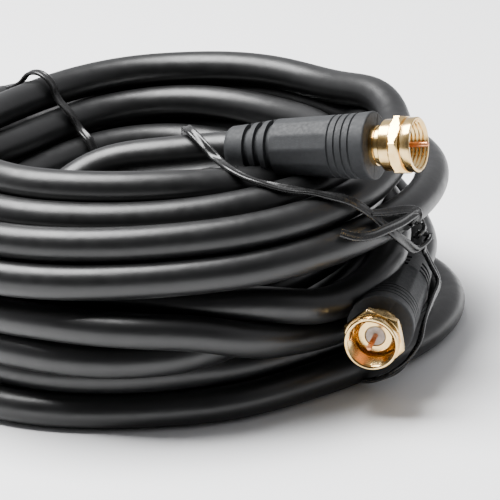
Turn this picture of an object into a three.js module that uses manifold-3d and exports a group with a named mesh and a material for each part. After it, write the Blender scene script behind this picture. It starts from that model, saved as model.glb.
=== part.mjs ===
// A coiled coaxial lead with a gold screw-on connector at each end, held by two wire ties.
// Millimetres, +Z up, lying on the plane z = 0; the origin is under the middle of its box.
import * as THREE from 'three';
import { mergeVertices } from 'three/addons/utils/BufferGeometryUtils.js';
import Module from 'manifold-3d';

const wasm = await Module();
wasm.setup();

// Cable and coil
const cableDiameter = 7.0;
const turnPitch = 7.05; // centre to centre of turns that touch
const innerTurnRadius = 38.2; // centreline of the inner column of turns
const valleyDepth = 1.75; // how far the groove between two turns lies below them
const facetAngle = 42; // degrees of a turn's roundness that one flat stands for
const coilSegments = 48;
const touchGap = 0.3; // left between pieces that touch

// The turns that show in the coil's section, as [pitches outward, pitches up] from the inner
// column's lowest turn: along the floor, up the outside, in over the top, down the bore.
const shownTurns = [
  [0.35, 0], [1.35, 0], [2.35, 0],
  [2.2, 0.97], [2.3, 1.95], [2.35, 2.95], [2.3, 3.95],
  [1.55, 4.75], [0.6, 5.25], [-0.3, 5.75],
  [-0.05, 4.75], [0.05, 3.75], [-0.05, 2.8], [0.05, 1.85], [0, 0.92],
];

// Moulded boot, from its cable end to its face
const bootLength = 30.2;
const bootRearDiameter = 9.0;
const bootMiddleDiameter = 11.3; // where the neck meets the grip
const bootGripDiameter = 12.3; // where the grip meets the collar
const bootFaceDiameter = 13.3;
const bootNeckLength = 10.2; // the slotted stretch that flexes
const bootCollarLength = 5.5;
const bootEdge = 0.6;
const slotWidth = 1.3;
const slotDepth = 0.9;
const slotPitch = 2.45;
const slotCount = 3;

// Crimped barrel between the boot and the nut
const barrelDiameter = 7.8;
const barrelLength = 1.7;

// Coupling nut, from its rear shoulder to its rim
const nutLength = 6.7;
const nutShoulderDiameter = 10.0;
const nutShoulderLength = 2.3;
const nutAcrossFlats = 10.9;
const nutHexLength = 2.2;
const nutRimDiameter = 10.6;
const nutBoreDiameter = 9.1;
const nutNeckBoreDiameter = 6.6;
const nutRearWall = 1.1;
const nutChamfer = 0.2;

// Post that holds the nut, with the insulator and the centre pin inside it
const flangeDiameter = 8.2;
const flangeLength = 1.0;
const postFaceDiameter = 6.7;
const dielectricDiameter = 3.8;
const pinDiameter = 1.0;
const pinReach = 2.0; // how far the pin stands out of the nut

// Wire ties
const tieDiameter = 1.6;

// Where each connector lies: the middle of its boot's face and the way it points
const connectorA = { face: [45.5, -33.5, 50.4], points: [0.907, -0.408, 0.108] };
const connectorB = { face: [44.2, -41.2, 15.8], points: [-0.259, -0.966, 0.027] };

// Routes of the two ends between boot and coil, about the coil's own axis
const leadARoute = [
  [9.5, -19.4, 46.4], [2, -18.6, 45.9], [-6, -17.6, 44.8], [-13, -18.4, 42.3],
  [-18, -21.6, 39.2], [-21.5, -25.6, 36.6],
];
const leadBRoute = [[53.7, -5, 15.2], [54.7, 1, 15.9], [54.6, 7, 17]];

// Tie A as [distance from the coil's axis, degrees round it, height]
const tieARoute = [
  [61.5, 124, 33.5], [59.7, 122, 30], [59.3, 121.5, 24], [58.6, 121, 14], [58.9, 121, 5],
  [55, 120.5, 1], [46, 119, 1], [38, 117, 1.2], [33.6, 114, 5], [33.5, 111, 20],
  [33.2, 109.5, 33], [31.2, 110, 42], [33, 112, 47.8], [37.5, 114, 48.4], [43, 116, 45.6],
  [49, 118, 42], [54.5, 119.4, 37], [58.9, 120.3, 33.4], [61.6, 120.8, 30.2],
];
const tieBRoute = [
  [54.4, -28.6, 31.4], [55.6, -24.4, 27.6], [54.6, -18.2, 22.2], [55.8, -19, 19.2],
  [57.1, -20.4, 16], [55.4, -25.6, 14.2], [53.2, -32.5, 12.6], [51.6, -36.6, 9.6],
  [47.6, -37.4, 5], [42, -34, 1.4], [33, -30.4, 1], [25, -27.6, 1], [20, -25.4, 5],
  [18.4, -25.2, 18], [16.6, -22, 29], [12.6, -15.2, 38.6], [9.6, -13.4, 44.6],
  [9.2, -15.6, 49.9], [10, -20.2, 51.3], [12.4, -24.2, 49.8], [14.8, -27.2, 47.8],
  [17.4, -32.2, 47.2], [21.2, -35.2, 45.9], [26.7, -37.2, 44.6], [34.2, -38, 43],
  [40.2, -38.2, 41], [44.4, -36.8, 37], [47.6, -36.9, 33.8], [50.2, -34.2, 30.2],
];

// Sides and steps of the faceted pieces
const leadTube = { diameter: cableDiameter, sides: 10 };
const tieTube = { diameter: tieDiameter, sides: 6 };
const leadASteps = 20;
const leadBSteps = 8;
const tieSteps = 56;
const bootSegments = 20;
const nutSegments = 30;
const postSegments = 24;
const pinSegments = 12;

function makeMaterial(color, roughness, metalness) {
  return new THREE.MeshStandardMaterial({ color, roughness, metalness });
}
const jacketMaterial = makeMaterial(0x1b1c1e, 0.45, 0);
const bootMaterial = makeMaterial(0x26282c, 0.6, 0);
const goldMaterial = makeMaterial(0xd9b56a, 0.22, 1);
const dielectricMaterial = makeMaterial(0xcfc9bf, 0.45, 0);
const copperMaterial = makeMaterial(0xb8623a, 0.35, 1);
const tieMaterial = makeMaterial(0x0e0f10, 0.3, 0);

function toSolid(geometry) {
  const bare = geometry.clone();
  bare.deleteAttribute('normal');
  bare.deleteAttribute('uv');
  const merged = mergeVertices(bare, 1e-4);
  return new wasm.Manifold(new wasm.Mesh({
    numProp: 3,
    vertProperties: new Float32Array(merged.attributes.position.array),
    triVerts: new Uint32Array(merged.index.array),
  }));
}

function toGeometry(solid) {
  const mesh = solid.getMesh();
  const geometry = new THREE.BufferGeometry();
  geometry.setAttribute('position', new THREE.BufferAttribute(mesh.vertProperties, 3));
  geometry.setIndex(new THREE.BufferAttribute(mesh.triVerts, 1));
  geometry.computeVertexNormals();
  return geometry;
}

function vector([x, y, z]) {
  return new THREE.Vector3(x, y, z);
}

function aroundAxis([radius, degrees, height]) {
  const angle = THREE.MathUtils.degToRad(degrees);
  return new THREE.Vector3(radius * Math.cos(angle), radius * Math.sin(angle), height);
}

// Turns a closed outline of [radius, height] points about Z.
function turned(outline, segments) {
  const points = outline.map(([radius, height]) => new THREE.Vector2(radius, height));
  if (outline[0][0] > 0) points.push(points[0].clone());
  return new THREE.LatheGeometry(points, segments).rotateX(Math.PI / 2);
}

function tubeAlong(points, { diameter, sides }, steps) {
  const section = new THREE.Shape();
  for (let i = 0; i < sides; i += 1) {
    const angle = (i / sides) * 2 * Math.PI;
    const corner = [(diameter / 2) * Math.cos(angle), (diameter / 2) * Math.sin(angle)];
    if (i === 0) section.moveTo(...corner);
    else section.lineTo(...corner);
  }
  const extrudePath = new THREE.CatmullRomCurve3(points, false, 'centripetal');
  return new THREE.ExtrudeGeometry(section, { steps, extrudePath, bevelEnabled: false });
}

// The coil's section: a flat-sided arc for each turn that shows, with a valley between turns.
function coilOutline() {
  const radius = cableDiameter / 2;
  const centres = shownTurns.map(([across, up]) => new THREE.Vector2(
    innerTurnRadius + across * turnPitch, radius + up * turnPitch,
  ));
  const valleys = centres.map((centre, i) => {
    const next = centres[(i + 1) % centres.length];
    const step = next.clone().sub(centre).normalize();
    const outward = new THREE.Vector2(step.y, -step.x);
    return centre.clone().lerp(next, 0.5).addScaledVector(outward, radius - valleyDepth);
  });
  const outline = [];
  centres.forEach((centre, i) => {
    const before = valleys.at(i - 1).clone().sub(centre).angle();
    const sweep = valleys[i].clone().sub(centre).angle() - before;
    const arc = sweep < 0 ? sweep + 2 * Math.PI : sweep;
    const flats = Math.max(1, Math.round(THREE.MathUtils.radToDeg(arc) / facetAngle));
    const reach = radius / Math.cos(arc / flats / 2);
    for (let j = 1; j < flats; j += 1) {
      const angle = before + (arc * j) / flats;
      outline.push([centre.x + reach * Math.cos(angle), centre.y + reach * Math.sin(angle)]);
    }
    outline.push([valleys[i].x, valleys[i].y]);
  });
  return outline;
}

function slotOutline(rear, middle) {
  const outline = [];
  const firstSlot = bootNeckLength - slotWidth - (slotCount - 1) * slotPitch;
  for (let i = 0; i < slotCount; i += 1) {
    const start = firstSlot + i * slotPitch;
    const top = THREE.MathUtils.lerp(rear, middle, start / bootNeckLength);
    outline.push([top, start], [top - slotDepth, start]);
    outline.push([top - slotDepth, start + slotWidth], [top, start + slotWidth]);
  }
  return outline;
}

// The boot's side view; `extra` is added all round it.
function bootOutline(extra, slotted) {
  const rear = bootRearDiameter / 2 + extra;
  const middle = bootMiddleDiameter / 2 + extra;
  const grip = bootGripDiameter / 2 + extra;
  const face = bootFaceDiameter / 2 + extra;
  const collarStart = bootLength - bootCollarLength;
  return [
    [0, -extra], [rear - bootEdge, -extra], [rear, bootEdge - extra],
    ...(slotted ? slotOutline(rear, middle) : []),
    [middle, bootNeckLength], [grip, collarStart], [face, collarStart + bootEdge - extra],
    [face, bootLength - bootEdge + extra], [face - bootEdge, bootLength + extra],
    [0, bootLength + extra],
  ];
}

const barrelStart = bootLength + touchGap;
const nutStart = barrelStart + barrelLength + touchGap;
const nutEnd = nutStart + nutLength;
const flangeStart = nutStart + nutRearWall + touchGap;
const flangeEnd = flangeStart + flangeLength;

function barrelGeometry() {
  const radius = barrelDiameter / 2;
  const end = barrelStart + barrelLength;
  return turned([[0, barrelStart], [radius, barrelStart], [radius, end], [0, end]], postSegments);
}

function nutGeometry() {
  const hexStart = nutStart + nutShoulderLength;
  const shoulder = nutShoulderDiameter / 2;
  const rim = nutRimDiameter / 2;
  const bore = nutBoreDiameter / 2;
  const neck = nutNeckBoreDiameter / 2;
  const shell = turned([
    [neck, nutStart], [shoulder - nutChamfer, nutStart], [shoulder, nutStart + nutChamfer],
    [shoulder, hexStart], [rim, hexStart], [rim, nutEnd - nutChamfer],
    [rim - nutChamfer, nutEnd], [bore + nutChamfer / 2, nutEnd], [bore, nutEnd - nutChamfer],
    [bore, nutStart + nutRearWall], [neck, nutStart + nutRearWall],
  ], nutSegments);
  const middle = hexStart + nutHexLength / 2;
  const corner = nutAcrossFlats / 2 / Math.cos(Math.PI / 6);
  const inside = (bore + rim) / 2;
  const hex = new THREE.CylinderGeometry(corner, corner, nutHexLength, 6);
  const hole = new THREE.CylinderGeometry(inside, inside, 2 * nutHexLength, nutSegments);
  const grip = toSolid(hex).subtract(toSolid(hole)).getMesh();
  const collar = toGeometry(new wasm.Manifold(grip)).rotateX(Math.PI / 2).translate(0, 0, middle);
  return toGeometry(toSolid(shell).add(toSolid(collar)));
}

function postGeometry() {
  const neck = nutNeckBoreDiameter / 2 - touchGap;
  const flange = flangeDiameter / 2;
  const face = postFaceDiameter / 2;
  const bore = dielectricDiameter / 2 + touchGap;
  const step = (flangeStart + flangeEnd) / 2;
  return turned([
    [bore, nutStart], [neck, nutStart], [neck, flangeStart], [flange, flangeStart],
    [flange, step], [face, step], [face, flangeEnd], [bore, flangeEnd],
  ], postSegments);
}

function dielectricGeometry() {
  const radius = dielectricDiameter / 2;
  return turned([[0, nutStart], [radius, nutStart], [radius, flangeEnd], [0, flangeEnd]],
    postSegments);
}

function pinGeometry() {
  const radius = pinDiameter / 2;
  const start = flangeEnd + touchGap;
  const tip = nutEnd + pinReach;
  return turned([[0, start], [radius, start], [radius, tip - radius], [0, tip]], pinSegments);
}

function heading(connector) {
  return vector(connector.points).normalize();
}

function bootRear(connector) {
  return vector(connector.face).addScaledVector(heading(connector), -bootLength);
}

function turnTo(connector) {
  return new THREE.Quaternion().setFromUnitVectors(new THREE.Vector3(0, 0, 1), heading(connector));
}

// A lead leaves the boot in line with it and then follows its own route.
function leadPoints(connector, route) {
  const start = bootRear(connector).addScaledVector(heading(connector), -touchGap);
  const straight = start.clone().addScaledVector(heading(connector), -0.4 * cableDiameter);
  return [start, straight, ...route.map(vector)];
}

const leadAPoints = leadPoints(connectorA, leadARoute);
const leadBPoints = leadPoints(connectorB, leadBRoute);
const tieAPoints = tieARoute.map(aroundAxis);
const tieBPoints = tieBRoute.map(vector);

// Room for a connector or a tube, with the touching gap all round it
function connectorRoom(connector) {
  const rear = bootRear(connector);
  const nutReach = nutAcrossFlats / 2 / Math.cos(Math.PI / 6) + touchGap;
  const outline = [
    ...bootOutline(touchGap, false).slice(0, -1),
    [nutReach, bootLength + touchGap], [nutReach, nutEnd + touchGap], [0, nutEnd + touchGap],
  ];
  const room = turned(outline, bootSegments);
  room.applyQuaternion(turnTo(connector)).translate(rear.x, rear.y, rear.z);
  return toSolid(room);
}

function tubeRoom(points, { diameter, sides }, steps) {
  const last = points.at(-1);
  const onward = last.clone().sub(points.at(-2)).setLength(touchGap);
  const longer = [...points.slice(0, -1), last.clone().add(onward)];
  const wider = diameter + (2 * touchGap) / Math.cos(Math.PI / sides);
  return toSolid(tubeAlong(longer, { diameter: wider, sides }, steps));
}

function coilGeometry() {
  return toGeometry(toSolid(turned(coilOutline(), coilSegments))
    .subtract(connectorRoom(connectorA))
    .subtract(connectorRoom(connectorB))
    .subtract(tubeRoom(leadAPoints, leadTube, leadASteps))
    .subtract(tubeRoom(leadBPoints, leadTube, leadBSteps))
    .subtract(tubeRoom(tieAPoints, tieTube, tieSteps))
    .subtract(tubeRoom(tieBPoints, tieTube, tieSteps)));
}

function addPiece(group, name, geometry, material) {
  const mesh = new THREE.Mesh(geometry, material);
  mesh.name = name;
  group.add(mesh);
}

function connectorGroup(connector, letter) {
  const group = new THREE.Group();
  group.quaternion.copy(turnTo(connector));
  group.position.copy(bootRear(connector));
  const boot = turned(bootOutline(0, true), bootSegments);
  addPiece(group, `boot_${letter}`, boot, bootMaterial);
  addPiece(group, `barrel_${letter}`, barrelGeometry(), goldMaterial);
  addPiece(group, `nut_${letter}`, nutGeometry(), goldMaterial);
  addPiece(group, `post_${letter}`, postGeometry(), goldMaterial);
  addPiece(group, `dielectric_${letter}`, dielectricGeometry(), dielectricMaterial);
  addPiece(group, `centre_pin_${letter}`, pinGeometry(), copperMaterial);
  return group;
}

const lead = new THREE.Group();
addPiece(lead, 'cable_coil', coilGeometry(), jacketMaterial);
addPiece(lead, 'cable_lead_a', tubeAlong(leadAPoints, leadTube, leadASteps), jacketMaterial);
addPiece(lead, 'cable_lead_b', tubeAlong(leadBPoints, leadTube, leadBSteps), jacketMaterial);
addPiece(lead, 'wire_tie_a', tubeAlong(tieAPoints, tieTube, tieSteps), tieMaterial);
addPiece(lead, 'wire_tie_b', tubeAlong(tieBPoints, tieTube, tieSteps), tieMaterial);
lead.add(connectorGroup(connectorA, 'a'));
lead.add(connectorGroup(connectorB, 'b'));

// The origin goes under the middle of the whole lead's box.
const middle = new THREE.Box3().setFromObject(lead, true).getCenter(new THREE.Vector3());
lead.position.set(-middle.x, -middle.y, 0);

const part = new THREE.Group();
part.add(lead);
export default part;
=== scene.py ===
"""A coil of black coaxial lead with a gold screw-on plug at each end, lying on a pale table."""

import logging
import math
from dataclasses import dataclass, field
from enum import Enum

import bmesh
import bpy
import numpy as np
from mathutils import Matrix, Vector

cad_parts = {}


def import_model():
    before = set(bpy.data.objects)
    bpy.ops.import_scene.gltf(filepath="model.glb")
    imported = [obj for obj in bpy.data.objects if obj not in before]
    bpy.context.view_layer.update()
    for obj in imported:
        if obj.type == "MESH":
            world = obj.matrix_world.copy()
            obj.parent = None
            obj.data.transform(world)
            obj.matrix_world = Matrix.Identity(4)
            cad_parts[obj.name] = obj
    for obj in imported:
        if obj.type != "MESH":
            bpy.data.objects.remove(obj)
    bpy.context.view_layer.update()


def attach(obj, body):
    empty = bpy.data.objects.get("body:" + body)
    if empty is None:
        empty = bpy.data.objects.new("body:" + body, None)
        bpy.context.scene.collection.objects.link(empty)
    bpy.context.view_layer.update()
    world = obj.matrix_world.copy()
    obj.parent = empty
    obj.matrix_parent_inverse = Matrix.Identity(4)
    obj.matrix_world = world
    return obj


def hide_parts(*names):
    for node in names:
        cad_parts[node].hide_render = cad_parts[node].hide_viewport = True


LOG = logging.getLogger("coaxial_lead")
MM = 0.001

NOISE_SPAN = (0.3, 0.7)
SAMPLES_PER_POINT = 12

Point = tuple[float, float, float]
Colour = tuple[float, ...]
Profile = tuple[tuple[float, float], ...]


class Body(Enum):
    """Bodies of the frame that pieces ride on."""

    COIL = "coil"
    NUT_A = "nut_a"
    NUT_B = "nut_b"


class Slot(Enum):
    """Material slots of the record."""

    JACKET = "jacket"
    BOOT = "boot"
    GOLD = "gold"
    INSULATOR = "insulator"
    COPPER = "copper"
    TIE = "tie"


# Finishes


class Graph:
    """A material's node graph, with short calls for the nodes that the finishes use."""

    def __init__(self, name: str) -> None:
        """Starts a material that holds one Principled shader.

        Args:
            name: The material's name.
        """
        self.material = bpy.data.materials.new(name)
        self.material.use_nodes = True
        self.nodes = self.material.node_tree.nodes
        self.links = self.material.node_tree.links
        self.shader = self.nodes["Principled BSDF"]
        self.place = self.nodes.new("ShaderNodeTexCoord").outputs["Object"]

    def set(self, **values: object) -> None:
        """Sets the shader's sockets; an underscore in a key stands for a space in its name."""
        for key, value in values.items():
            self.shader.inputs[key.replace("_", " ")].default_value = value

    def noise(self, scale: float, detail: float = 4.0, roughness: float = 0.55) -> bpy.types.NodeSocket:
        """Adds a noise texture in object space.

        Args:
            scale: Grains in one metre.
            detail: Octaves of the noise.
            roughness: How strong the finer octaves are.

        Returns:
            The noise's height output.
        """
        node = self.nodes.new("ShaderNodeTexNoise")
        node.inputs["Scale"].default_value = scale
        node.inputs["Detail"].default_value = detail
        node.inputs["Roughness"].default_value = roughness
        self.links.new(self.place, node.inputs["Vector"])
        return node.outputs["Fac"]

    def ramp(self, source: bpy.types.NodeSocket, dark: Colour, light: Colour) -> bpy.types.NodeSocket:
        """Maps a noise, which stays near one half, to the tones between two colours.

        Args:
            source: The noise.
            dark: Colour at the low end of its span.
            light: Colour at the high end.

        Returns:
            The colour output.
        """
        node = self.nodes.new("ShaderNodeValToRGB")
        for element, position, colour in zip(node.color_ramp.elements, NOISE_SPAN, (dark, light)):
            element.position = position
            element.color = colour
        self.links.new(source, node.inputs["Fac"])
        return node.outputs["Color"]

    def spread(self, source: bpy.types.NodeSocket, low: float, high: float) -> bpy.types.NodeSocket:
        """Maps a noise, which stays near one half, to a range.

        Args:
            source: The noise.
            low: Result at the low end of its span.
            high: Result at the high end.

        Returns:
            The mapped value.
        """
        node = self.nodes.new("ShaderNodeMapRange")
        for key, value in zip(("From Min", "From Max", "To Min", "To Max"), (*NOISE_SPAN, low, high)):
            node.inputs[key].default_value = value
        self.links.new(source, node.inputs["Value"])
        return node.outputs["Result"]

    def bump(
        self, height: bpy.types.NodeSocket, depth: float, under: bpy.types.NodeSocket | None = None,
    ) -> bpy.types.NodeSocket:
        """Adds a bump of a real depth.

        Args:
            height: The height from 0 to 1.
            depth: The height's depth in metres.
            under: The normal of a coarser bump below this one.

        Returns:
            The bumped normal.
        """
        node = self.nodes.new("ShaderNodeBump")
        node.inputs["Strength"].default_value = 1.0
        node.inputs["Distance"].default_value = depth
        self.links.new(height, node.inputs["Height"])
        if under is not None:
            self.links.new(under, node.inputs["Normal"])
        return node.outputs["Normal"]

    def feed(self, socket: str, source: bpy.types.NodeSocket) -> None:
        """Links a source to one of the shader's sockets."""
        self.links.new(source, self.shader.inputs[socket])


def grey(level: float, blue: float = 0.0) -> tuple[float, float, float, float]:
    """Gives a near-neutral linear colour, a little bluer by `blue`."""
    return (level, level * (1 + blue * 0.4), level * (1 + blue), 1.0)


@dataclass(frozen=True)
class JacketVinyl:
    """Semi-matte black vinyl with a faint drawn grain."""

    dark: float = 0.0035
    light: float = 0.006
    gloss: tuple[float, float] = (0.33, 0.42)

    def make(self) -> bpy.types.Material:
        """Builds the material.

        Returns:
            The material.
        """
        graph = Graph("jacket_vinyl")
        tone = graph.noise(60, 3)
        graph.feed("Base Color", graph.ramp(tone, grey(self.dark, 0.06), grey(self.light, 0.06)))
        graph.feed("Roughness", graph.spread(graph.noise(400, 5), *self.gloss))
        coarse = graph.bump(graph.noise(160, 2), 0.00010)
        graph.feed("Normal", graph.bump(graph.noise(2600, 3), 0.000012, coarse))
        graph.set(Specular_IOR_Level=0.5)
        return graph.material


@dataclass(frozen=True)
class BootRubber:
    """Matte blue-black moulded rubber with a fine spark-eroded grain."""

    dark: float = 0.014
    light: float = 0.021

    def make(self) -> bpy.types.Material:
        """Builds the material.

        Returns:
            The material.
        """
        graph = Graph("boot_rubber")
        tone = graph.noise(900, 4)
        graph.feed("Base Color", graph.ramp(tone, grey(self.dark, 0.18), grey(self.light, 0.18)))
        graph.feed("Roughness", graph.spread(graph.noise(1500, 3), 0.58, 0.72))
        coarse = graph.bump(graph.noise(700, 2), 0.00003)
        graph.feed("Normal", graph.bump(graph.noise(5200, 3), 0.00004, coarse))
        graph.set(Specular_IOR_Level=0.42)
        return graph.material


@dataclass(frozen=True)
class Plating:
    """Bright metal with a slight change of tone and a faint turned grain."""

    name: str = "gold_plating"
    dark: Colour = (0.80, 0.52, 0.19, 1.0)
    light: Colour = (0.92, 0.67, 0.32, 1.0)
    gloss: tuple[float, float] = (0.12, 0.22)

    def make(self) -> bpy.types.Material:
        """Builds the material.

        Returns:
            The material.
        """
        graph = Graph(self.name)
        graph.feed("Base Color", graph.ramp(graph.noise(500, 3), self.dark, self.light))
        graph.feed("Roughness", graph.spread(graph.noise(1200, 4), *self.gloss))
        graph.feed("Normal", graph.bump(graph.noise(1800, 2), 0.000008))
        graph.set(Metallic=1.0)
        return graph.material


@dataclass(frozen=True)
class MilkyFoam:
    """Milky foamed insulator that lets some light in."""

    dark: Colour = (0.60, 0.53, 0.47, 1.0)
    light: Colour = (0.74, 0.68, 0.62, 1.0)

    def make(self) -> bpy.types.Material:
        """Builds the material.

        Returns:
            The material.
        """
        graph = Graph("milky_foam")
        graph.feed("Base Color", graph.ramp(graph.noise(1400, 4), self.dark, self.light))
        graph.feed("Roughness", graph.spread(graph.noise(2200, 3), 0.40, 0.55))
        graph.feed("Normal", graph.bump(graph.noise(3000, 3), 0.00002))
        graph.set(Subsurface_Weight=0.25, Subsurface_Scale=0.001, Subsurface_Radius=(1.0, 0.7, 0.5))
        return graph.material


@dataclass(frozen=True)
class TieVinyl:
    """Glossy black vinyl over the two wires of a twist tie."""

    dark: float = 0.006
    light: float = 0.010

    def make(self) -> bpy.types.Material:
        """Builds the material.

        Returns:
            The material.
        """
        graph = Graph("tie_vinyl")
        graph.feed("Base Color", graph.ramp(graph.noise(300, 3), grey(self.dark), grey(self.light)))
        graph.feed("Roughness", graph.spread(graph.noise(900, 3), 0.20, 0.34))
        graph.feed("Normal", graph.bump(graph.noise(1100, 2), 0.00003))
        return graph.material


@dataclass(frozen=True)
class PaleTable:
    """The plain pale surface that the lead lies on."""

    tone: float = 0.94

    def make(self) -> bpy.types.Material:
        """Builds the material.

        Returns:
            The material.
        """
        graph = Graph("pale_table")
        pale, paler = grey(self.tone, 0.01), grey(self.tone * 1.02, 0.01)
        graph.feed("Base Color", graph.ramp(graph.noise(3, 2), pale, paler))
        graph.set(Roughness=0.6, Specular_IOR_Level=0.3)
        return graph.material


# Mesh tools


def link(name: str, mesh: bpy.types.Mesh, smooth: bool = True) -> bpy.types.Object:
    """Puts a mesh in the scene.

    Args:
        name: The object's name.
        mesh: The mesh.
        smooth: Whether its faces are shaded smooth.

    Returns:
        The object.
    """
    item = bpy.data.objects.new(name, mesh)
    bpy.context.scene.collection.objects.link(item)
    mesh.polygons.foreach_set("use_smooth", [smooth] * len(mesh.polygons))
    return item


def sharpen(item: bpy.types.Object, degrees: float) -> None:
    """Keeps edges that turn by more than `degrees` sharp."""
    item.data.set_sharp_from_angle(angle=math.radians(degrees))


def unit(vectors: np.ndarray) -> np.ndarray:
    """Scales each row to length one."""
    return vectors / np.linalg.norm(vectors, axis=-1, keepdims=True)


def carried_frames(path: np.ndarray, first: np.ndarray) -> tuple[np.ndarray, np.ndarray, np.ndarray]:
    """Carries a frame along a path without twisting it.

    Args:
        path: The points.
        first: A direction that the first side axis is nearest to.

    Returns:
        The tangents and the two side axes at each point.
    """
    tangents = unit(np.gradient(path, axis=0))
    sides = np.empty_like(path)
    side = first - tangents[0] * (first @ tangents[0])
    for i, tangent in enumerate(tangents):
        side = side - tangent * (side @ tangent)
        side = side / np.linalg.norm(side)
        sides[i] = side
    return tangents, sides, np.cross(tangents, sides)


def tube_mesh(name: str, path: np.ndarray, radii: np.ndarray, sides: int) -> bpy.types.Mesh:
    """Builds a round tube with flat ends.

    Args:
        name: The mesh's name.
        path: The middle line.
        radii: The radius at each point of it.
        sides: Corners of its section.

    Returns:
        The mesh.
    """
    _, across, up = carried_frames(path, np.array([0.0, 0.0, 1.0]))
    turn = np.linspace(0, 2 * math.pi, sides, endpoint=False)
    ring = np.cos(turn)[None, :, None] * across[:, None] + np.sin(turn)[None, :, None] * up[:, None]
    rings = path[:, None] + ring * radii[:, None, None]
    verts = rings.reshape(-1, 3)
    index = np.arange(len(path) * sides).reshape(len(path), sides)
    ahead = np.roll(index, -1, axis=1)
    quads = np.stack([index[:-1], ahead[:-1], ahead[1:], index[1:]], -1).reshape(-1, 4)
    faces = [tuple(map(int, quad)) for quad in quads]
    faces.append(tuple(map(int, index[0][::-1])))
    faces.append(tuple(map(int, index[-1])))
    mesh = bpy.data.meshes.new(name)
    mesh.from_pydata(verts.tolist(), [], faces)
    mesh.update()
    return mesh


def polar(radius: float, degrees: float, along: float) -> Point:
    """Gives a point from its distance to the Z axis, its angle round it and its height."""
    angle = math.radians(degrees)
    return (radius * math.cos(angle), radius * math.sin(angle), along)


def plateau(offset: float, width: float, soft: float) -> float:
    """Rises from 0 to 1 over `soft`, stays there and falls again at `width`."""
    return float(np.clip(min(offset, width - offset) / soft, 0.0, 1.0))


def ringed_mesh(name: str, rings: list[list[Point]], looped: bool = False) -> bpy.types.Mesh:
    """Joins rings of points to a closed skin.

    Args:
        name: The mesh's name.
        rings: The rings, each with as many points.
        looped: Whether the last ring joins the first; otherwise flat faces close both ends.

    Returns:
        The mesh.
    """
    count = len(rings[0])
    shell = bmesh.new()
    rows = [[shell.verts.new(point) for point in ring] for ring in rings]
    pairs = list(zip(rows, rows[1:]))
    if looped:
        pairs.append((rows[-1], rows[0]))
    for low, high in pairs:
        for i in range(count):
            j = (i + 1) % count
            shell.faces.new((low[i], low[j], high[j], high[i]))
    if not looped:
        shell.faces.new(rows[0][::-1])
        shell.faces.new(rows[-1])
    bmesh.ops.recalc_face_normals(shell, faces=shell.faces)
    mesh = bpy.data.meshes.new(name)
    shell.to_mesh(mesh)
    shell.free()
    return mesh


def smooth_values(knots: np.ndarray, values: np.ndarray, grid: np.ndarray) -> np.ndarray:
    """Runs a smooth cubic through values at uneven knots.

    Args:
        knots: Rising places of the values.
        values: One row for each knot.
        grid: Places at which the result is wanted.

    Returns:
        One row for each place of the grid.
    """
    slopes = np.gradient(values, knots, axis=0)
    before = np.clip(np.searchsorted(knots, grid, side="right") - 1, 0, len(knots) - 2)
    width = (knots[before + 1] - knots[before])[:, None]
    t = ((grid - knots[before]) / width[:, 0])[:, None]
    rise = 3 * t**2 - 2 * t**3
    return (
        (1 - rise) * values[before] + rise * values[before + 1]
        + (t**3 - 2 * t**2 + t) * width * slopes[before]
        + (t**3 - t**2) * width * slopes[before + 1]
    )


def distance_along(points: np.ndarray) -> np.ndarray:
    """Gives each point's distance along the line through them all."""
    return np.concatenate([[0.0], np.cumsum(np.linalg.norm(np.diff(points, axis=0), axis=1))])


def smooth_line(points: np.ndarray, step: float) -> np.ndarray:
    """Runs a smooth line through points, with even steps.

    Args:
        points: The points.
        step: The distance between two points of the result.

    Returns:
        The points of the line.
    """
    along = np.concatenate([[0.0], np.cumsum(np.sqrt(np.linalg.norm(np.diff(points, axis=0), axis=1)))])
    fine = smooth_values(along, points, np.linspace(0, along[-1], len(points) * SAMPLES_PER_POINT))
    run = distance_along(fine)
    even = np.linspace(0, run[-1], int(round(run[-1] / step)) + 1)
    return np.stack([np.interp(even, run, fine[:, axis]) for axis in range(3)], 1)


# The view


@dataclass
class View:
    """The photograph's view: a long lens that looks down a little and leans to its left."""

    aim: Point = (20.1, 0.0, 17.1)
    distance: float = 695.9
    down: float = 22.0
    lean: float = 4.0
    lens: float = 244.8
    sensor: float = 36.0
    near: float = 0.01
    far: float = 20.0

    def build(self) -> bpy.types.Object:
        """Places the camera and makes it the scene's own.

        Returns:
            The camera.
        """
        pitch, lean = math.radians(self.down), math.radians(self.lean)
        ahead = Vector((0, math.cos(pitch), -math.sin(pitch)))
        level = Vector((1, 0, 0))
        above = level.cross(ahead)
        right = level * math.cos(lean) - above * math.sin(lean)
        up = level * math.sin(lean) + above * math.cos(lean)
        data = bpy.data.cameras.new("view")
        data.lens = self.lens
        data.sensor_width = self.sensor
        data.clip_start = self.near
        data.clip_end = self.far
        camera = bpy.data.objects.new("view", data)
        place = (Vector(self.aim) - ahead * self.distance) * MM
        turn = Matrix((right, up, -ahead)).transposed().to_4x4()
        camera.matrix_world = Matrix.Translation(place) @ turn
        bpy.context.scene.collection.objects.link(camera)
        bpy.context.scene.camera = camera
        return camera


# The cable


@dataclass
class Connector:
    """Where a plug lies, in the frame's millimetres: the middle of its boot's face and its heading."""

    letter: str
    face: Point
    points: Point
    nut_body: Body
    boot_length: float = 30.2

    @property
    def heading(self) -> np.ndarray:
        """The direction from boot to nut."""
        return unit(np.array(self.points))

    @property
    def rear(self) -> np.ndarray:
        """The middle of the boot's cable end."""
        return np.array(self.face) - self.heading * self.boot_length


PLUG_A = Connector("a", (45.5, -33.5, 50.4), (0.907, -0.408, 0.108), Body.NUT_A)
PLUG_B = Connector("b", (44.2, -41.2, 15.8), (-0.259, -0.966, 0.027), Body.NUT_B)


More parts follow.
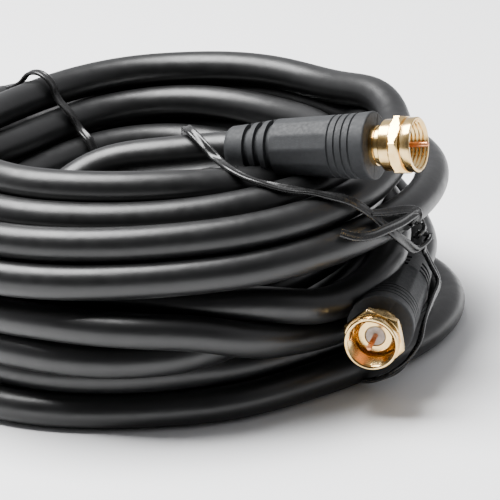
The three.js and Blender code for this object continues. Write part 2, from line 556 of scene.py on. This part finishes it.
@dataclass
class Cable:
    """The whole lead from one boot to the other, in millimetres about the coil's axis.

    The wound turns run clockwise seen from above. Each row of `turns` is one turn, given as its
    distance from the axis and its height at each of `stations`, degrees round the axis.
    `straight`, `ignored` and `search` are counted in diameters: how far the cable runs straight on
    behind a boot, how far along itself it doesn't touch itself, and how near two turns are watched.
    """

    diameter: float = 7.0
    length: float = 3500.0
    in_boot: float = 4.0
    sides: int = 32
    step: float = 1.9
    arc: float = 7.5
    straight: float = 0.4
    ignored: float = 1.2
    search: float = 1.35
    push_share: float = 0.9
    bend_share: float = 0.5
    block: int = 200
    stations: tuple[float, ...] = (135, 90, 45, 0, -45, -90, -135, -180)
    lead_a: tuple[Point, ...] = (
        (9.5, -19.4, 46.4), (2, -18.6, 45.9), (-6, -17.6, 44.8), (-13, -18.4, 42.3),
        (-19, -21.8, 39), (-26, -24, 37), (-32, -17.5, 34.2), (-34.4, -6, 31.6),
    )
    lead_b: tuple[Point, ...] = ((54.6, 7, 17), (54.7, 1, 15.9), (53.7, -5, 15.2))
    turns: tuple[Profile, ...] = (
        (
            (34, 28), (39.6, 28), (40.5, 26), (42, 25),
            (42.4, 24), (39.8, 19.6), (40.4, 18), (42.4, 15.9),
        ),
        (
            (42.2, 11.6), (42, 9), (44.2, 5.4), (51.4, 4),
            (42.6, 7.4), (43.7, 9.9), (44.4, 9.2), (44.6, 7.4),
        ),
        (
            (43, 3.6), (46, 3.5), (51.5, 3.5), (60.1, 3.6),
            (48.7, 3.5), (45.2, 3.5), (48, 3.5), (50.6, 3.5),
        ),
        (
            (50.6, 4), (53.4, 4.6), (50.5, 10.5), (50.6, 10.6),
            (47.8, 12.9), (51.2, 22.5), (47.2, 22.5), (53.2, 20.5),
        ),
        (
            (53.2, 18.3), (51.8, 15.6), (51, 16.4), (46.4, 17.3),
            (41.4, 15.4), (48.4, 15.6), (47.4, 15.6), (50.4, 13.8),
        ),
        (
            (46.2, 17.4), (45.2, 20.6), (46, 22.4), (49.2, 24),
            (52.2, 20.2), (43, 25.4), (43.6, 27.6), (45.2, 25.4),
        ),
        (
            (44.6, 26.8), (46.9, 27), (46.2, 29.8), (45.4, 31.8),
            (45.4, 33.3), (41.4, 34), (42.8, 34.2), (48, 32),
        ),
        (
            (54.2, 24.9), (54.2, 26.4), (56, 29.4), (58, 32),
            (54.2, 33), (49.8, 32.6), (52.3, 32.4), (55.6, 30.9),
        ),
        (
            (51.2, 31.2), (53.4, 33.2), (52.6, 33.6), (44.6, 37.4),
            (43.4, 41), (40, 41), (42.3, 41), (41.4, 36.6),
        ),
        (
            (38.5, 34), (46, 34), (41.4, 35.2), (38, 38.4),
            (38.4, 41.6), (34.5, 45), (37, 45.6), (40.2, 43.4),
        ),
        (
            (43.2, 40.2), (50.8, 40), (49.6, 40.4), (51, 39.8),
            (50, 38.9), (46.4, 38.7), (48.8, 38.7), (52.4, 37.8),
        ),
    )
    last_turn: Profile = ((52.6, 37.6), (58.8, 30.6), (58, 22.2))
    path: np.ndarray = field(default_factory=lambda: np.empty((0, 3)), init=False)

    def wound(self) -> np.ndarray:
        """Works out the wound turns.

        Returns:
            Their points, every few degrees.
        """
        rows = [
            (360 * number - station, radius, height)
            for number, turn in enumerate((*self.turns, self.last_turn))
            for station, (radius, height) in zip(self.stations, turn)
        ]
        table = np.array(rows, float)
        grid = np.arange(table[0, 0], table[-1, 0], self.arc)
        radius, height = smooth_values(table[:, 0], table[:, 1:], grid).T
        angle = np.radians(-grid)
        return np.stack([radius * np.cos(angle), radius * np.sin(angle), height], 1)

    def settle(self, path: np.ndarray, rounds: int = 130, refresh: int = 10) -> np.ndarray:
        """Pushes crossing turns apart until they only touch, and keeps the cable smooth.

        Args:
            path: The middle line, in even steps.
            rounds: How many small moves are made.
            refresh: Rounds between two searches for close pairs.

        Returns:
            The settled middle line.
        """
        path = path.copy()
        count, radius = len(path), self.diameter / 2
        apart = int(self.ignored * self.diameter / self.step)
        held = np.ones((count, 1))
        held[:apart], held[-apart:] = 0, 0
        for number in range(rounds):
            if number % refresh == 0:
                first, second = self._close_pairs(path, apart)
            gap = path[first] - path[second]
            distance = np.linalg.norm(gap, axis=1)
            push = np.where(distance < self.diameter, 0.5 * (self.diameter - distance), 0.0)
            step = gap * (push / np.maximum(distance, 1e-6))[:, None]
            touching = np.bincount(first, push > 0, count) + np.bincount(second, push > 0, count)
            move = np.stack([
                np.bincount(first, step[:, axis], count) - np.bincount(second, step[:, axis], count)
                for axis in range(3)
            ], 1) * self.push_share / np.maximum(touching, 1)[:, None]
            for _ in range(2):
                move[1:-1] = 0.25 * move[:-2] + 0.5 * move[1:-1] + 0.25 * move[2:]
            path += move * held
            path[:, 2] = np.maximum(path[:, 2], radius)
            bend = np.zeros_like(path)
            bend[2:-2] = (4 * path[1:-3] + 4 * path[3:-1] - 6 * path[2:-2] - path[:-4] - path[4:]) / 16
            path += self.bend_share * bend * held
        return path

    def _close_pairs(self, path: np.ndarray, apart: int) -> tuple[np.ndarray, np.ndarray]:
        """Finds points of different turns that lie near each other.

        Args:
            path: The middle line.
            apart: Steps along the cable within which points don't count.

        Returns:
            The two indices of each pair.
        """
        reach = self.diameter * self.search
        firsts, seconds = [], []
        for start in range(0, len(path), self.block):
            block = path[start:start + self.block]
            distance = np.linalg.norm(block[:, None] - path[None], axis=2)
            rows, columns = np.nonzero(distance < reach)
            rows = rows + start
            keep = columns - rows > apart
            firsts.append(rows[keep])
            seconds.append(columns[keep])
        return np.concatenate(firsts), np.concatenate(seconds)

    def route(self) -> np.ndarray:
        """Joins the leads and the turns, and settles them.

        Returns:
            The middle line in metres, from inside boot A to inside boot B.
        """
        out_of_a = [
            PLUG_A.rear + PLUG_A.heading * self.in_boot, PLUG_A.rear,
            PLUG_A.rear - PLUG_A.heading * self.straight * self.diameter,
        ]
        into_b = [
            PLUG_B.rear - PLUG_B.heading * self.straight * self.diameter, PLUG_B.rear,
            PLUG_B.rear + PLUG_B.heading * self.in_boot,
        ]
        points = np.vstack([out_of_a, self.lead_a, self.wound(), self.lead_b, into_b])
        return self.settle(smooth_line(points, self.step)) * MM

    def build(self) -> bpy.types.Object:
        """Returns:
            The cable.
        """
        self.path = self.route()
        LOG.info("cable: %.3f m in %d points", distance_along(self.path)[-1], len(self.path))
        radii = np.full(len(self.path), self.diameter / 2 * MM)
        cable = link("cable", tube_mesh("cable", self.path, radii, self.sides))
        cable.data.materials.append(JacketVinyl().make())
        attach(cable, Body.COIL.value)
        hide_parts("cable_coil", "cable_lead_a", "cable_lead_b")
        return cable


# The plugs


@dataclass
class Plug:
    """One screw-on plug with its moulded boot, in millimetres along its own axis from the cable end."""

    seat: Connector
    gold: bpy.types.Material
    rubber: bpy.types.Material
    foam: bpy.types.Material
    copper: bpy.types.Material
    boot_skin: Profile = (
        (0, 4.2), (0.5, 4.5), (3.9, 4.85), (10.2, 5.65), (22, 6.1), (27.4, 6.4), (29.8, 6.65),
    )
    bore: float = 3.5
    mouth: float = 3.55
    mouth_depth: float = 1.2
    slots: tuple[float, ...] = (4.0, 6.45, 8.9)
    slot_width: float = 1.3
    slot_depth: float = 0.85
    slot_edge: float = 0.14
    web_angle: float = -32.0
    web_half: float = 15.0
    grooves: tuple[float, ...] = (22.3, 23.8, 25.3, 26.8)
    groove_width: float = 0.45
    groove_depth: float = 0.3
    groove_edge: float = 0.16
    facets: int = 12
    facet_angle: float = 15.0
    facet_reach: float = 1.012
    facet_limit: float = 1.004
    facet_run: float = 0.3
    seam_width: float = 0.3
    seam_depth: float = 0.12
    barrel: Profile = (
        (3.2, 29.6), (3.9, 29.6), (3.9, 31.0), (3.75, 31.1),
        (3.75, 31.3), (3.9, 31.4), (3.9, 32.2), (3.2, 32.2),
    )
    nut_start: float = 32.5
    shoulder_end: float = 34.8
    hex_end: float = 37.0
    rim: float = 39.2
    shoulder_radius: float = 5.0
    hex_half: float = 5.45
    hex_rings: tuple[float, ...] = (0.0, 0.15, 0.3, 0.5, 0.8, 1.4, 1.7, 1.9, 2.05, 2.2)
    rim_radius: float = 5.3
    edge: float = 0.18
    corner_angle: float = 8.5
    thread_radius: float = 4.75
    thread_depth: float = 0.4
    thread_pitch: float = 0.8
    neck_radius: float = 3.3
    rear_wall: float = 33.6
    post: Profile = (
        (2.0, 32.5), (3.0, 32.5), (3.0, 33.9), (4.1, 33.9), (4.1, 34.3), (3.95, 34.4),
        (3.4, 34.45), (3.33, 34.8), (3.25, 34.9), (2.1, 34.9), (2.0, 34.8),
    )
    dielectric: Profile = ((1.93, 32.6), (1.93, 34.75), (1.83, 34.85), (1.2, 34.88), (0.56, 34.73))
    pin: Profile = ((0.5, 34.6), (0.5, 40.85), (0.425, 41.08), (0.225, 41.2))

    def place(self) -> Matrix:
        """Works out the plug's frame: Z along its axis, X as near upward as it gets.

        Returns:
            The frame, from the plug's millimetres to the scene's metres.
        """
        z = Vector(self.seat.heading)
        x = (Vector((0, 0, 1)) - z * z.z).normalized()
        turn = Matrix((x, z.cross(x), z)).transposed().to_4x4()
        return Matrix.Translation(Vector(self.seat.rear) * MM) @ turn @ Matrix.Scale(MM, 4)

    def put(
        self, part: str, mesh: bpy.types.Mesh, finish: bpy.types.Material, body: Body,
    ) -> bpy.types.Object:
        """Places one piece and tells the frame about it.

        Args:
            part: The piece's name, without the plug's letter.
            mesh: Its mesh in the plug's own frame.
            finish: Its material.
            body: The body that it rides on.

        Returns:
            The piece.
        """
        mesh.transform(self.place())
        piece = link(f"plug_{self.seat.letter}_{part}", mesh)
        sharpen(piece, 38)
        piece.data.materials.append(finish)
        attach(piece, body.value)
        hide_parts(f"{part}_{self.seat.letter}")
        LOG.info("%s: %d faces", piece.name, len(mesh.polygons))
        return piece

    def boot_radius(self, along: float, angle: float) -> float:
        """Gives the boot's radius at one point of its skin.

        Args:
            along: Distance from the cable end.
            angle: Degrees round the axis from the upward side.

        Returns:
            The radius.
        """
        radius = float(np.interp(along, *zip(*self.boot_skin)))
        first, last = self.slots[-1] + self.slot_width, self.grooves[0]
        if first < along < last:
            sector = 360 / self.facets
            off = (angle - self.facet_angle) % sector - sector / 2
            flat = self.facet_reach * math.cos(math.radians(sector / 2)) / math.cos(math.radians(off))
            fade = min(1.0, (along - first) / self.facet_run, (last - along) / self.facet_run)
            radius *= 1 + (min(flat, self.facet_limit) - 1) * fade
        if abs((angle - self.web_angle + 90) % 180 - 90) > self.web_half:
            radius -= self.slot_depth * sum(
                plateau(along - start, self.slot_width, self.slot_edge) for start in self.slots
            )
        radius -= self.groove_depth * sum(
            plateau(along - start, self.groove_width, self.groove_edge) for start in self.grooves
        )
        return radius

    def boot_mesh(self) -> bpy.types.Mesh:
        """Builds the boot's skin, from the hollow round the cable to the flat face.

        Returns:
            The mesh in the plug's own frame.
        """
        length = self.seat.boot_length
        angles = np.arange(0, 360, 2.5)
        lines = {0.0, 0.25, 0.5, length - 0.35, *np.arange(1.0, length - 0.5, 0.75).round(3)}
        for starts, width, soft in (
            (self.slots, self.slot_width, self.slot_edge),
            (self.grooves, self.groove_width, self.groove_edge),
        ):
            for start in starts:
                lines |= {start - 0.02, start + soft, start + width - soft, start + width + 0.02}
        rings = [
            [polar(self.bore, angle, self.mouth_depth) for angle in angles],
            [polar(self.mouth, angle, 0.0) for angle in angles],
        ]
        rings += [[polar(self.boot_radius(z, angle), angle, z) for angle in angles] for z in sorted(lines)]
        outer = self.boot_skin[-1][1]
        for inward, behind in ((0.08, 0.12), (0.2, 0.03), (0.35, 0.0)):
            rings.append([polar(outer - inward, angle, length - behind) for angle in angles])
        for radius in np.linspace(outer - 0.6, self.bore, 10):
            rings.append([polar(radius, angle, length - self.seam_at(radius, angle)) for angle in angles])
        return ringed_mesh("boot", rings)

    def seam_at(self, radius: float, angle: float) -> float:
        """Gives the depth of the mould's parting line on the boot's face."""
        off = abs(math.radians((angle - self.web_angle + 90) % 180 - 90)) * radius
        return self.seam_depth * max(0.0, 1 - off / self.seam_width)

    def nut_mesh(self) -> bpy.types.Mesh:
        """Builds the coupling nut: shoulder, chamfered hexagon, rim and the thread inside.

        Returns:
            The mesh in the plug's own frame.
        """
        angles = np.arange(0, 360, 4.0)
        rings = []

        def turned(radius: float, along: float) -> None:
            """Adds one round ring."""
            rings.append([polar(radius, angle, along) for angle in angles])

        start, shoulder, edge = self.nut_start, self.shoulder_radius, self.edge
        turned(self.neck_radius, start)
        turned(shoulder - edge, start)
        turned(shoulder, start + edge)
        turned(shoulder, self.shoulder_end - 0.25)
        turned(shoulder - 0.2, self.shoulder_end)
        for depth in self.hex_rings:
            inset = min(depth, self.hex_end - self.shoulder_end - depth)
            limit = self.hex_half - 0.02 + 1.5 * inset
            along = self.shoulder_end + depth
            rings.append([polar(min(self.hex_radius(angle), limit), angle, along) for angle in angles])
        turned(self.rim_radius - 0.15, self.hex_end)
        turned(self.rim_radius, self.hex_end + 0.3)
        turned(self.rim_radius, self.rim - edge)
        turned(self.rim_radius - edge, self.rim)
        turned(self.thread_radius + 0.12, self.rim)
        for z in np.arange(self.rim - 0.15, self.rear_wall + 0.5, -0.1):
            rings.append([polar(self.thread_at(z, angle), angle, z) for angle in angles])
        turned(self.thread_radius, self.rear_wall)
        turned(self.neck_radius, self.rear_wall)
        return ringed_mesh("nut", rings, looped=True)

    def hex_radius(self, angle: float) -> float:
        """Gives the radius of the sharp hexagon at an angle."""
        off = (angle - self.corner_angle) % 60 - 30
        return self.hex_half / math.cos(math.radians(off))

    def thread_at(self, along: float, angle: float) -> float:
        """Gives the bore's radius on the thread, a V groove that winds round it.

        Args:
            along: Distance from the boot's cable end.
            angle: Degrees round the axis.

        Returns:
            The radius.
        """
        phase = (along / self.thread_pitch - angle / 360) % 1.0
        fade = min(1.0, (self.rim - along) / 0.5, (along - self.rear_wall - 0.3) / 0.6)
        return self.thread_radius - self.thread_depth * max(fade, 0.0) * (1 - abs(2 * phase - 1))

    def turned_mesh(self, profile: Profile, looped: bool) -> bpy.types.Mesh:
        """Turns a profile round the axis.

        Args:
            profile: Pairs of a radius and a distance along the axis.
            looped: Whether the profile closes on itself, as a pipe's wall does.

        Returns:
            The mesh in the plug's own frame.
        """
        angles = np.arange(0, 360, 5.0)
        rings = [[polar(radius, angle, along) for angle in angles] for radius, along in profile]
        return ringed_mesh("turned", rings, looped)

    def build(self) -> list[bpy.types.Object]:
        """Builds the plug's six pieces.

        Returns:
            The pieces, from the boot to the pin.
        """
        coil = Body.COIL
        foam, pin = self.turned_mesh(self.dielectric, False), self.turned_mesh(self.pin, False)
        return [
            self.put("boot", self.boot_mesh(), self.rubber, coil),
            self.put("barrel", self.turned_mesh(self.barrel, True), self.gold, coil),
            self.put("nut", self.nut_mesh(), self.gold, self.seat.nut_body),
            self.put("post", self.turned_mesh(self.post, True), self.gold, coil),
            self.put("dielectric", foam, self.foam, coil),
            self.put("centre_pin", pin, self.copper, coil),
        ]


# The ties


@dataclass
class Tie:
    """A flat twist tie: a strip with a rib over the wire along each edge, in millimetres."""

    name: str
    node: str
    route: list[Point]
    rib_radius: float = 0.42
    rib_offset: float = 0.55
    step: float = 0.6
    smoothing: int = 12

    def section(self) -> list[tuple[float, float]]:
        """Gives the strip's outline: two ribs with a thin web between them.

        Returns:
            Its points, across the strip and away from what it lies on.
        """
        ribs = []
        for side in (1, -1):
            for degrees in range(-135, 136, 30):
                angle = math.radians(degrees)
                ribs.append((
                    side * (self.rib_offset + self.rib_radius * math.cos(angle)),
                    side * self.rib_radius * math.sin(angle),
                ))
        return ribs

    def build(self, cores: np.ndarray, finish: bpy.types.Material) -> bpy.types.Object:
        """Builds the strip along its route, lying flat on what it holds.

        Args:
            cores: Points of the middle lines of the cable and the boots.
            finish: Its material.

        Returns:
            The tie.
        """
        path = smooth_line(np.array(self.route, float), self.step)
        nearest = np.linalg.norm(path[:, None] - cores[None], axis=2).argmin(1)
        outward = path - cores[nearest]
        for _ in range(self.smoothing):
            outward[1:-1] = (outward[:-2] + outward[1:-1] + outward[2:]) / 3
        tangents = unit(np.gradient(path, axis=0))
        across = unit(np.cross(tangents, outward))
        above = np.cross(across, tangents)
        rings = [
            [tuple(map(float, (point + wide * side + high * up) * MM)) for wide, high in self.section()]
            for point, side, up in zip(path, across, above)
        ]
        tie = link(self.name, ringed_mesh(self.name, rings))
        sharpen(tie, 60)
        tie.data.materials.append(finish)
        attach(tie, Body.COIL.value)
        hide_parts(self.node)
        LOG.info("%s: %d faces", tie.name, len(tie.data.polygons))
        return tie


def twist(line: list[Point], radius: float, turns: float, start: float) -> list[Point]:
    """Winds a strand round a line.

    Args:
        line: The ends of the line.
        radius: The strand's distance from it.
        turns: How often the strand goes round.
        start: Its first angle in degrees.

    Returns:
        Points of the strand.
    """
    first, last = map(Vector, line)
    axis = (last - first).normalized()
    side = axis.cross(Vector((0, 1, 0))).normalized()
    other = axis.cross(side)
    points = []
    for i in range(int(turns * 8) + 1):
        angle = math.radians(start + 45 * i)
        middle = first.lerp(last, i / (turns * 8))
        points.append(tuple(middle + radius * (math.cos(angle) * side + math.sin(angle) * other)))
    return points


LEFT_TIE = [polar(*point) for point in (
    (61.5, 124, 33.5), (59.7, 122, 30), (59.3, 121.5, 24), (58.6, 121, 14), (58.9, 121, 5),
    (55, 120.5, 1), (46, 119, 1), (38, 117, 1.2), (33.6, 114, 5), (32.8, 111, 20),
    (32.4, 109.8, 27), (34, 110.8, 31.6), (37.2, 112.6, 33.8), (38.4, 114.4, 37), (41.3, 116.4, 39.8),
    (42.4, 117.3, 43.2), (45, 118.8, 44.9), (48.2, 120.2, 44.3), (50.4, 121.4, 42), (53.2, 122.8, 40.4),
    (57.2, 123.8, 39.2), (60.4, 123.6, 35.4), (61.6, 122.4, 31.6),
)]
KNOT = [(52.4, -29.6, 34.2), (54.4, -26.8, 27.6)]
RIGHT_TIE = [
    (37.6, -42.6, 36.6), (40.2, -42.6, 35.6), (43.2, -41.2, 35), (46.4, -38.6, 35), (49.6, -35, 34.8),
    *twist(KNOT, 1.0, 2.0, 0),
    (54.6, -18.2, 22.2), (55.8, -19, 19.2), (57.1, -20.4, 16), (55.4, -25.6, 14.2), (53.2, -32.5, 12.6),
    (51.6, -36.6, 9.6), (47.6, -37.4, 5), (42, -34, 1.4), (33, -30.4, 1), (25, -27.6, 1), (20, -25.4, 5),
    (18.4, -25.2, 18), (16.6, -22, 29), (12.6, -15.2, 38.6), (9.6, -13.4, 44.6), (9.2, -15.6, 49.9),
    (10, -20.2, 51.3), (12.4, -24.2, 49.8), (14.8, -27.2, 47.8), (17.4, -32.2, 47.2), (21.2, -35.2, 45.9),
    (26.7, -37.2, 44.6), (34.2, -38, 43), (40.2, -38.2, 41), (44.4, -36.8, 37), (47.6, -36.9, 33.8),
    (50.2, -34.2, 30.2), (52.6, -30.4, 27),
    *twist(KNOT[::-1], 1.0, 2.0, 180),
    (51.2, -31.6, 36), (48.6, -33.4, 36.6), (45.6, -35.4, 37.2), (43.6, -36.8, 37.8),
]


# Surroundings


@dataclass
class Studio:
    """The pale table, the light of the room and the soft box over it."""

    table_half: float = 6.0
    sky: float = 0.8
    dusk: float = 0.07
    dark_side: Point = (-0.15, -0.93, 0.33)
    dark_span: tuple[float, float] = (0.1, 0.85)
    tint: Colour = (0.97, 0.97, 1.0, 1.0)
    key_power: float = 16.5
    key_place: Point = (-0.20, 0.08, 0.60)
    key_size: float = 0.42

    def build(self) -> None:
        """Builds the table and both lights."""
        half = self.table_half
        mesh = bpy.data.meshes.new("table_top")
        mesh.from_pydata(
            [(-half, -half, 0), (half, -half, 0), (half, half, 0), (-half, half, 0)], [], [(0, 1, 2, 3)],
        )
        table = link("table_top", mesh, smooth=False)
        table.data.materials.append(PaleTable().make())
        world = bpy.context.scene.world or bpy.data.worlds.new("room")
        bpy.context.scene.world = world
        self.light_room(world)
        self.soft_box("overhead", self.key_place, (0, 0, 0), self.key_size, self.key_power)

    def light_room(self, world: bpy.types.World) -> None:
        """Lights the room: pale above, behind and beside the lead, and dark on the camera's side.

        Args:
            world: The world.
        """
        world.use_nodes = True
        nodes, links = world.node_tree.nodes, world.node_tree.links
        direction = nodes.new("ShaderNodeTexCoord").outputs["Generated"]
        toward_dark = nodes.new("ShaderNodeVectorMath")
        toward_dark.operation = "DOT_PRODUCT"
        toward_dark.inputs[1].default_value = self.dark_side
        links.new(direction, toward_dark.inputs[0])
        ramp = nodes.new("ShaderNodeMapRange")
        ramp.interpolation_type = "SMOOTHSTEP"
        for key, value in zip(
            ("From Min", "From Max", "To Min", "To Max"), (*self.dark_span, self.sky, self.dusk),
        ):
            ramp.inputs[key].default_value = value
        links.new(toward_dark.outputs["Value"], ramp.inputs["Value"])
        backdrop = nodes["Background"]
        backdrop.inputs["Color"].default_value = self.tint
        links.new(ramp.outputs["Result"], backdrop.inputs["Strength"])

    def soft_box(self, name: str, place: Point, aim: Point, size: float, power: float) -> None:
        """Adds a square soft light.

        Args:
            name: Its name.
            place: Its place in metres.
            aim: The point that it faces.
            size: The length of its sides.
            power: Its power in watts.
        """
        data = bpy.data.lights.new(name, "AREA")
        data.shape = "SQUARE"
        data.size = size
        data.energy = power
        lamp = bpy.data.objects.new(name, data)
        turn = (Vector(aim) - Vector(place)).to_track_quat("-Z", "Y")
        lamp.matrix_world = Matrix.Translation(place) @ turn.to_matrix().to_4x4()
        bpy.context.scene.collection.objects.link(lamp)


def main() -> None:
    """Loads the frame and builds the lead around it."""
    logging.basicConfig(level=logging.INFO, format="%(message)s")
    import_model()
    View().build()
    Studio().build()
    cable = Cable()
    cable_piece = cable.build()
    gold, rubber, foam = Plating().make(), BootRubber().make(), MilkyFoam().make()
    copper = Plating("bare_copper", (0.62, 0.24, 0.10, 1.0), (0.78, 0.36, 0.18, 1.0), (0.25, 0.38)).make()
    plugs = [piece for seat in (PLUG_A, PLUG_B) for piece in Plug(seat, gold, rubber, foam, copper).build()]
    boots = [
        seat.rear + seat.heading * along
        for seat in (PLUG_A, PLUG_B) for along in range(int(seat.boot_length))
    ]
    cores = np.vstack([cable.path[::2] / MM, boots])
    vinyl = TieVinyl().make()
    Tie("tie_left", "wire_tie_a", LEFT_TIE).build(cores, vinyl)
    Tie("tie_right", "wire_tie_b", RIGHT_TIE).build(cores, vinyl)


if __name__ == "__main__":
    main()
